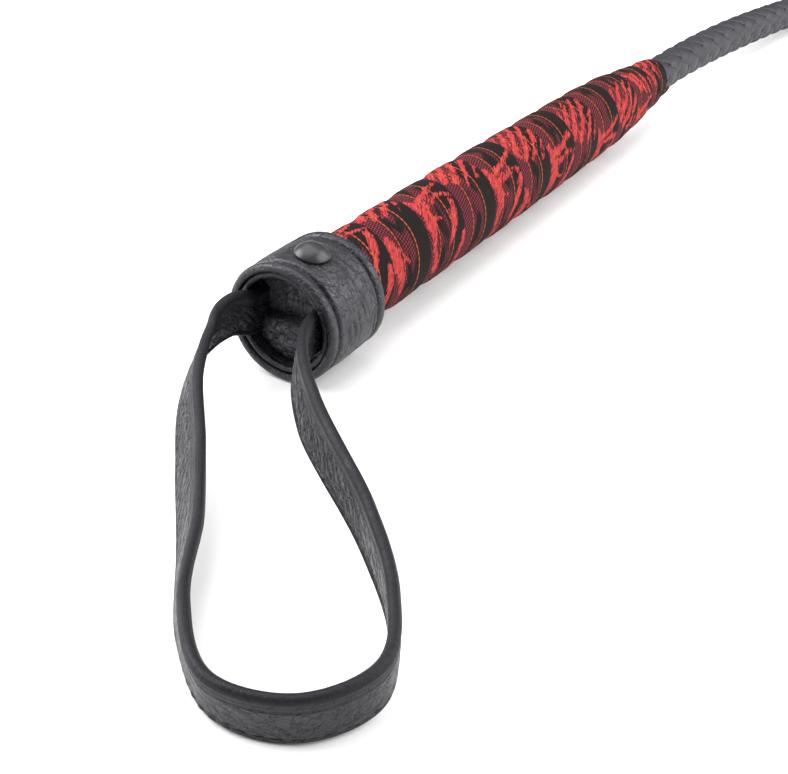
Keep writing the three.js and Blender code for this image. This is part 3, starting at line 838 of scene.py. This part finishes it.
# Woven figures by place along the ribbon and length of repeat, or 0. Each is a spray of tapering
# strokes: along and across at a stroke's two ends, and its two half widths.
SPRAYS = {
    (-70, 158): (
        (-10.5, 1.5, -4.5, 3.2, 1.3, 2.2), (-4.5, 3.2, 0.5, 3.5, 2.2, 2.3),
        (0.5, 3, 6, 2.5, 1.6, 1.2), (6, 2.5, 13.5, 4.5, 1.1, 1.2),
        (-8, 4, -9.5, 10, 1.4, 1.2), (-9.5, 10, -11.5, 17, 1.2, 0.9),
        (-5.5, 5, -6.5, 11, 1.2, 1.0), (-6.5, 11, -5.5, 17.5, 1.0, 0.8),
        (-2, 4.5, 0, 8.5, 1.3, 0.5), (-3.5, 16.5, 2.5, 13.5, 1.3, 2.0),
        (2.5, 13.5, 8, 10, 2.0, 0.7), (7.5, 17.2, 17, 15.5, 1.2, 1.8),
    ),
    (0, 158): (
        (-11, 0, -17, 5, 1.3, 0.6), (-6.5, 0.5, -17, 10, 1.6, 0.8),
        (-3, 2.5, -16.5, 14.5, 1.7, 0.9), (-0.5, 5.5, -14, 17.5, 1.5, 1.0),
        (1.5, 9, -8, 18, 1.0, 1.3), (2, 14.5, -3, 18.2, 0.7, 0.8),
    ),
    (17, 316): (
        (-8, 2, -1, 3, 1.6, 2.2), (-1, 3, 7, 4.5, 2.2, 1.0), (-4, 5, -1, 8, 0.9, 0.5),
    ),
    (-719, 0): (
        (-8, 2, 1, 7, 1.2, 1.5), (-6, 7, 3, 10, 1.5, 1.2),
        (-4, 12, 4, 14.5, 1.2, 1.0), (-2, 17, 3, 18, 0.8, 0.6),
    ),
    (-785, 0): ((-4, 2, 3, 5, 1.4, 1.0), (-3, 8, 2, 9, 1.0, 0.7)),
}  # fmt: skip


def stroke_distance(along, across, stroke):
    x0, y0, x1, y1, w0, w1 = stroke
    dx, dy = x1 - x0, y1 - y0
    t = np.clip(((along - x0) * dx + (across - y0) * dy) / (dx * dx + dy * dy), 0, 1)
    return np.hypot(along - x0 - t * dx, across - y0 - t * dy) - (w0 + (w1 - w0) * t)


def motif_field(along, across):
    """Distance to the nearest woven figure, below 0 inside it."""
    flat = stacked(along, across, 0 * along)
    along = along + 1.0 * lumps(flat, 4.5, 11)
    across = across + 0.8 * lumps(flat, 4.0, 12)
    field = np.full(along.shape, NO_FIGURE)
    for (place, repeat), spray in SPRAYS.items():
        local = along - place
        if repeat:
            local = (local + repeat / 2) % repeat - repeat / 2
        for stroke in spray:
            field = np.minimum(field, stroke_distance(local, across, stroke))
    return field


def grip_radius(station):
    return np.interp(station, GRIP_OUTLINE[:, 0], GRIP_OUTLINE[:, 1])


def ribbon_course():
    """The ribbon's angle, the station of its outer edge and the distance along it. It is wound
    from the far end towards the cuff."""
    first = -(RIBBON_END + 12 - LAP_STATION) / LAP_PITCH
    last = -(24 - LAP_STATION) / LAP_PITCH
    turns = np.arange(first, last, 1 / 92)
    angle = TURN * turns + LAP_ANGLE
    edge = LAP_STATION - LAP_PITCH * turns
    narrowing = np.minimum(grip_radius(edge[1:] - LAP_PITCH / 2) / 11.9, 1)
    along = running_sum(np.diff(angle) * WINDING_RADIUS * narrowing)
    return angle, edge, along - np.interp(0, angle, along)


def make_ribbon():
    """One strip, whose turns overlap. Across it, what lies below 0 is under the next turn."""
    angle, edge, along = ribbon_course()
    face = chain(np.linspace(-OVERLAP, 0, 10)[:-1], np.linspace(0, LAP_PITCH, 46))
    width = chain(face, face[::-4])
    top = chain(np.ones(len(face)), np.zeros(len(face[::-4])))
    s, w = np.meshgrid(along, width, indexing="ij")
    theta = np.repeat(angle[:, None], len(width), axis=1)

    # Both ends of the strip run out level: under the cuff, and at the last turn by the shaft.
    station = edge[:, None] + w - LAP_PITCH
    station = np.maximum(station, 19.2 + 0.06 * (w + OVERLAP))
    station = np.minimum(station, RIBBON_END - 2.2 + 0.07 * (w + OVERLAP))

    field = motif_field(s, w)
    threads = 0.10 * smooth_rise(0.5 - field / 0.5)
    for row in ORANGE_ROWS:
        threads = threads + 0.05 * bump_at(w, row, 0.3)
    flat = stacked(station, WINDING_RADIUS * np.sin(theta), WINDING_RADIUS * np.cos(theta))
    puff = 0.12 * lumps(flat, (9, 12, 12), 14)
    puff = puff + 0.16 * np.sin(np.pi * np.clip(w / LAP_PITCH, 0, 1))
    slanted = flat @ np.array([[1, 0.5, 0], [0, 1, 0], [0, 0.4, 1]])
    tight = smooth_rise((station - 205) / 25)
    folds = tight * 0.38 * lumps(slanted, (3.2, 9, 9), 15)
    riding = 0.40 * smooth_rise((w - 5.5) / 4.0)
    over = riding + puff + folds + top * (RIBBON_THICKNESS + threads)
    radius = grip_radius(station) - 0.8 + over
    height = axis_height(station) + radius * np.cos(theta)
    grid = stacked(station, -radius * np.sin(theta), height)

    columns = np.append(width, width[0])
    ribbon = grid_object("brocade_ribbon", grid, brocade("brocade"), along, columns)
    set_attribute(ribbon, "motif", np.where(top > 0, field, NO_FIGURE))
    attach(ribbon, "root")
    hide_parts("ribbon_wrap")


# ---- Shaft


SHAFT_BEND_RADIUS = 1000.0  # of its curve to the right


def shaft_centre(station):
    """The shaft's axis: it curves to the right, sinks to the floor, and rises over the neck."""
    station = np.asarray(station, float)
    past = np.maximum(station - SHAFT_CURVE_START, 0)
    share = smooth_rise(past / SHAFT_SINK)
    height = axis_height(station) * (1 - share) + 5.45 * share
    lift = smooth_rise((station - 520) / 80) * 1.2
    return stacked(station, -(past**2) / (2 * SHAFT_BEND_RADIUS), height + lift)


def shaft_frame(station):
    """Centre, heading, right-hand side and up directions of the shaft."""
    station = np.asarray(station, float)
    heading = unit(shaft_centre(station + 0.5) - shaft_centre(station - 0.5))
    side = unit(np.cross(heading, [0, 0, 1.0]))
    return shaft_centre(station), heading, side, np.cross(side, heading)


def plait_radius(station):
    swell = 0.3 * smooth_rise((station - SHAFT_CURVE_START) / 80)
    taper = 2.2 * np.maximum((station - 340) / (SHAFT_END - 340), 0) ** 1.2
    return 6.2 + swell - taper


def round_shaft(station, angle, radius):
    """Points round the shaft, from arrays of one shape. Angles run from up towards the right."""
    centre, _, side, up = shaft_frame(station)
    spoke = np.sin(angle)[..., None] * side + np.cos(angle)[..., None] * up
    return centre + radius[..., None] * spoke


def make_rod():
    """The rod inside, from the grip form's bore to the tip. It tapers past the grip."""
    start, end, taper_start = 40.0, 622.1, 300.0
    station, angle = np.meshgrid(np.arange(start, end, 3.0), full_turn(24), indexing="ij")
    radius = 3.0 - np.clip((station - taper_start) / (SHAFT_END - taper_start), 0, 1)
    rod = grid_object("springy_rod", round_shaft(station, angle, radius), FIBREGLASS)
    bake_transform(rod)
    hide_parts("rod_tang", "shaft_rod")


PLAIT_START, PLAIT_END = 227.0, 621.0
PLAIT_PITCH = 46.0  # of one turn of a strand
STRANDS_EACH_WAY = 4
STRAND_RADIUS = 6.0  # from the shaft's axis to the strands
STRAND_THICKNESS = 1.15


def make_strand(way, k):
    """A flat strand, wound one way, 1, or the other, -1, over and under by turns."""
    step = PLAIT_PITCH / 56
    station = np.arange(PLAIT_START, PLAIT_END, step)
    turns = (station - PLAIT_START) / PLAIT_PITCH
    scale = (plait_radius(station) / 6.5)[:, None]
    slope = np.arctan(TURN * STRAND_RADIUS / PLAIT_PITCH)
    half_width = 0.94 * np.pi * STRAND_RADIUS * math.cos(slope) / STRANDS_EACH_WAY
    turn = full_turn(14)
    across = np.cos(turn) * np.abs(np.cos(turn)) ** -0.25
    through = np.sin(turn) * np.abs(np.sin(turn) + 1e-9) ** -0.35
    over = way * np.cos(TURN * STRANDS_EACH_WAY * turns)[:, None]
    angle = TURN * (k / STRANDS_EACH_WAY + way * turns)[:, None]

    # Half of each step across the strand goes round the shaft, and half along it.
    x = station[:, None] - way * across * half_width * scale * math.sin(slope)
    a = angle + across * half_width * math.cos(slope) / STRAND_RADIUS
    skin = 0.5 * STRAND_THICKNESS * through * (1 - 0.25 * across**2) - 0.12 * across**2
    grid = round_shaft(x, a, plait_radius(x) - 0.4 + (0.42 * over + skin) * scale)
    run = np.arange(len(station)) * step / math.cos(slope) + 31 * k
    columns = np.linspace(0, 2 * half_width, len(turn) + 1)
    return grid_object("strand", grid, PLAIT_LEATHER, run, columns)


def make_plait():
    """Strands wound both ways, over a plain core that shows in their gaps."""
    pieces = [make_strand(way, k) for way in (1, -1) for k in range(STRANDS_EACH_WAY)]
    station = np.arange(PLAIT_START, PLAIT_END, 6.0)
    x, a = np.meshgrid(station, full_turn(20), indexing="ij")
    pieces.append(grid_object("core", round_shaft(x, a, plait_radius(x) - 1.0), PLAIT_LEATHER))
    plait = join(pieces, "plaited_cover")
    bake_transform(plait)
    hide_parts("plait_collar", "shaft_plait")


# ---- Keeper

KEEPER_DROOP = math.radians(3.2)
KEEPER_NECK, KEEPER_TIP = -30.0, 66.0  # its ends, past the hinge
LEAF_THICKNESS = 1.3
LEAF_RISE = LEAF_THICKNESS / 2 + 0.35  # from the keeper's middle to a leaf's middle


def keeper_line(reach):
    """Centre, heading, side and up of the keeper at distances past its hinge."""
    reach = np.asarray(reach, float)
    before = np.minimum(reach, 0)
    centre, heading, side, up = shaft_frame(KEEPER_HINGE + before)
    droop = KEEPER_DROOP * smooth_rise(reach / 6 + 0.5)[..., None]
    ahead = np.cos(droop) * heading - np.sin(droop) * up
    return centre + ahead * np.maximum(reach, 0)[..., None], ahead, side, np.cross(side, ahead)


def leaf_width(reach):
    return 12.5 + 11.5 * smooth_rise((reach - 4) / 20)


def leaf_bend(reach):
    """Height and curvature of a leaf: bent round the shaft, and flat past it."""
    tuck = smooth_rise((reach + 4) / 16)
    wrap = plait_radius(np.minimum(KEEPER_HINGE + reach, SHAFT_END)) + 0.85
    return wrap * (1 - tuck) + LEAF_RISE * tuck, (1 - tuck) / wrap


def bent(across, curvature):
    """Angle, side and sag of points across a bent leaf."""
    angle = across * curvature
    least = 1e-4
    divisor = np.maximum(curvature, least)
    side = np.where(curvature > least, np.sin(angle) / divisor, across)
    return angle, side, np.where(curvature > least, (1 - np.cos(angle)) / divisor, 0)


def leaf_curl(reach, across):
    """How far the keeper's edges hang towards its tip."""
    return 1.6 * smooth_rise(reach / KEEPER_TIP) * (across / 12) ** 2


def keeper_relief(reach, across, level, width):
    """Pebbles, slow waves, and a line pressed along each edge."""
    flat = stacked(reach + 0 * across, across, 8 * level + 0 * across)
    pressed = 0.14 * bump_at(width / 2 - np.abs(across), 2.4, 0.35)
    return 0.07 * (pebbles(flat, 1.1, 21) - 1) - pressed + 0.1 * lumps(flat, 9, 22)


def make_leaves():
    """One strip: a leaf over the shaft's tip, a fold, and a leaf below it."""
    out = np.linspace(KEEPER_NECK, KEEPER_TIP - LEAF_RISE, 120)
    fold = np.linspace(0, np.pi, 12)[1:-1]
    reach = chain(out, KEEPER_TIP - LEAF_RISE + LEAF_RISE * np.sin(fold), out[::-1])
    level = chain(np.ones(len(out)), np.cos(fold), -np.ones(len(out)))[:, None]
    turned = chain(0 * out, fold, np.pi + 0 * out)[:, None]
    centre, ahead, side, up = (part[:, None] for part in keeper_line(reach))
    run = running_sum(np.abs(np.diff(reach)) + 0.05)
    reach = reach[:, None]

    # The strip's section: its two faces, with rounded edges between them
    half = np.linspace(-1, 1, 25)
    rim = np.linspace(0, np.pi, 6)[1:-1]
    spot = chain(half, 1 + 0 * rim, half[::-1], -1 + 0 * rim)
    past = chain(0 * half, np.sin(rim), 0 * half, -np.sin(rim)) * LEAF_THICKNESS / 2
    skin = chain(1 + 0 * half, np.cos(rim), -1 + 0 * half, -np.cos(rim))
    rounding = np.sqrt(smooth_rise((KEEPER_TIP - reach) / 5))
    width = leaf_width(reach) * (0.86 + 0.14 * rounding)
    across = spot * (width / 2 - LEAF_THICKNESS / 2) + past
    relief = keeper_relief(reach, across, level, width)
    thick = skin * LEAF_THICKNESS / 2 * (1 + relief / LEAF_THICKNESS)

    height, curvature = leaf_bend(reach)
    angle, sideways, sag = bent(across, curvature)
    rise = height * level - np.sign(level) * sag + thick * np.cos(turned) * np.cos(angle)
    rise = rise - leaf_curl(reach, across)
    sideways = sideways + thick * np.sin(angle) * np.abs(np.cos(turned))
    forward = thick * np.sin(turned)
    steps = zip((sideways, rise, forward), (side, up, ahead))
    grid = centre + sum(step[..., None] * direction for step, direction in steps)
    columns = np.linspace(0, 40, across.shape[1] + 1)
    return grid_object("keeper_flap", grid, KEEPER_LEATHER, run, columns)


def keeper_stitches(side):
    """A row of stitches on the upper leaf, by its right edge, 1, or its left edge, -1."""
    reach = np.arange(KEEPER_NECK + 4, KEEPER_TIP - 5, 2.9)
    centre, _, right, up = keeper_line(reach)
    across = side * (leaf_width(reach) / 2 - 2.4)
    height, curvature = leaf_bend(reach)
    angle, sideways, sag = bent(across, curvature)
    proud = 0.53  # from the leaf's middle to the stitches
    rise = height - sag + proud * np.cos(angle) - leaf_curl(reach, across)
    sideways = sideways + proud * np.sin(angle)
    points = centre + sideways[:, None] * right + rise[:, None] * up
    outs = np.cos(angle)[:, None] * up + np.sin(angle)[:, None] * right
    return stitch_row(points, outs)


def make_keeper():
    keeper = make_leaves()
    stitches = join([keeper_stitches(side) for side in (1, -1)], "keeper_stitches")
    for obj in (keeper, stitches):
        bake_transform(obj)
    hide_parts("keeper_neck", "keeper_tongue")


def make_whipping():
    """Thread wound tight round the keeper's neck."""
    start, end, pitch = 601.5, 616.5, 0.8
    thread_radius = 0.42
    turns = (end - start) / pitch
    share = np.linspace(0, 1, int(turns * 30))[:, None]
    station = start + (end - start) * share
    ring = full_turn(6)
    r = plait_radius(station) + 1.95 + thread_radius * np.cos(ring)
    x = station + thread_radius * np.sin(ring)
    angle = TURN * turns * share + 0 * ring
    whipping = grid_object("tip_thread", round_shaft(x, angle, r), THREAD)
    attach(whipping, "shaft")
    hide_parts("tip_whipping")


# ---- Scene


def paint_hidden_nodes():
    """Better materials for the CAD pieces that stay."""
    materials = {"handle_core": WOOD, "grip_padding": FOAM, "taper_binding": THREAD}
    materials["rivet_shank"] = RIVET_METAL
    for tack in ("left_a", "left_b", "right_a", "right_b"):
        materials["strap_tack_" + tack] = STEEL
    for name, material in materials.items():
        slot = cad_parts[name].material_slots[0]
        slot.link = "OBJECT"
        slot.material = material


def make_floor():
    paint = Paint("floor", 0.75, Specular_IOR_Level=0.15)
    mottle = paint.noise(paint.place((400, 400, 400)), 1.0, 1.0)
    paint.drive("Base Color", paint.mix(mottle, grey(0.86), grey(0.88)))
    reach = 4.0
    corners = [(reach * x, reach * y, 0) for x, y in ((-1, -1), (1, -1), (1, 1), (-1, 1))]
    mesh = bpy.data.meshes.new("floor")
    mesh.from_pydata(corners, [], [(0, 1, 2, 3)])
    mesh.materials.append(paint.material)
    linked("floor", mesh)


def add_softbox(name, place, target, size, watts):
    lamp = bpy.data.lights.new(name, "AREA")
    lamp.shape = "RECTANGLE"
    lamp.size, lamp.size_y = size
    lamp.energy = watts
    obj = linked(name, lamp)
    obj.location = place
    obj.rotation_euler = (Vector(target) - Vector(place)).to_track_quat("-Z", "Y").to_euler()


def make_lights():
    world = bpy.data.worlds.new("studio")
    world.use_nodes = True
    background = world.node_tree.nodes["Background"]
    background.inputs["Color"].default_value = (1, 1, 1, 1)
    background.inputs["Strength"].default_value = 0.22
    bpy.context.scene.world = world
    add_softbox("top_light", (0.1, 0.3, 1.25), (0.05, -0.02, 0), (1.7, 1.7), 28)
    add_softbox("left_light", (-0.35, 1.0, 0.65), (0, -0.02, 0), (0.9, 0.7), 21)
    add_softbox("right_light", (0.55, -0.95, 0.7), (0.05, -0.02, 0), (1.5, 1.1), 26)


def make_camera():
    """Above and to the right of the wrist loop, looking along the crop and down."""
    yaw, pitch, roll = (math.radians(angle) for angle in (31.694, 31.143, 0.255))
    lens = bpy.data.cameras.new("camera")
    lens.sensor_width = 36
    lens.lens = 56.82792
    lens.clip_start = 0.01
    camera = linked("camera", lens)
    camera.location = placed((-213.7, -165.0, 160.7))
    level = math.cos(pitch)
    look = Vector((math.cos(yaw) * level, math.sin(yaw) * level, -math.sin(pitch)))
    turn = look.to_track_quat("-Z", "Y")
    turn.rotate(Quaternion(look, -roll))
    camera.rotation_euler = turn.to_euler()
    bpy.context.scene.camera = camera


bpy.context.scene.view_settings.view_transform = "Standard"
make_camera()
make_lights()
make_floor()
finish_strap()
make_cuff()
make_lining()
make_butt()
make_rivet()
make_ribbon()
make_rod()
make_plait()
make_keeper()
make_whipping()
paint_hidden_nodes()
